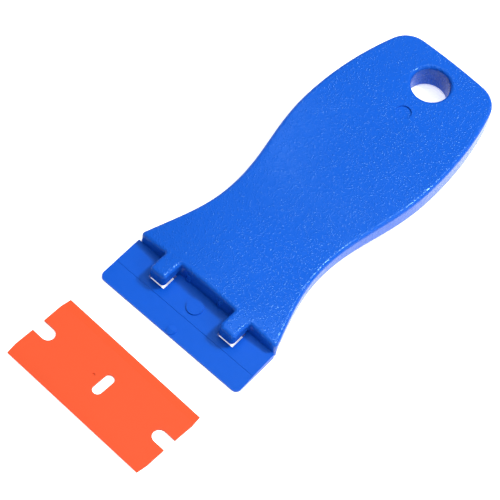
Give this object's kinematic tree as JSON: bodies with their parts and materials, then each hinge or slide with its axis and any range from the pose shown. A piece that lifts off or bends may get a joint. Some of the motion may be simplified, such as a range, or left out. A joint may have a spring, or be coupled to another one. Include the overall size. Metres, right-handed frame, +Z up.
{
  "type": "algae scraper",
  "caption": "Flat hand scraper for aquarium and pond glass: one-piece plastic handle with hanging hole and blade holder, and a loose double-edged plastic blade.",
  "frame": {"origin": "on the underside, on the centre line, under the shoulder wall that stops the blade", "axes": "+Y along the handle to its tail, +Z up from the underside to the top face, +X to the right seen from above with the tail away"},
  "size_m": [0.041, 0.1221, 0.0073],
  "materials": {
    "handle_plastic": "fine spark-textured blue plastic",
    "blade_plastic": "smooth orange plastic"
  },
  "bodies": {
    "handle": {"handle": "handle_plastic"},
    "blade": {"blade": "blade_plastic"}
  },
  "joints": [
    {"name": "seat_blade", "type": "hinge", "parent": "handle", "child": "blade", "pos_m": [0, -0.03201, 0.17979], "axis": [0.9701, -0.0719, 0.2318], "range_deg": [0, 6.8]}
  ]
}
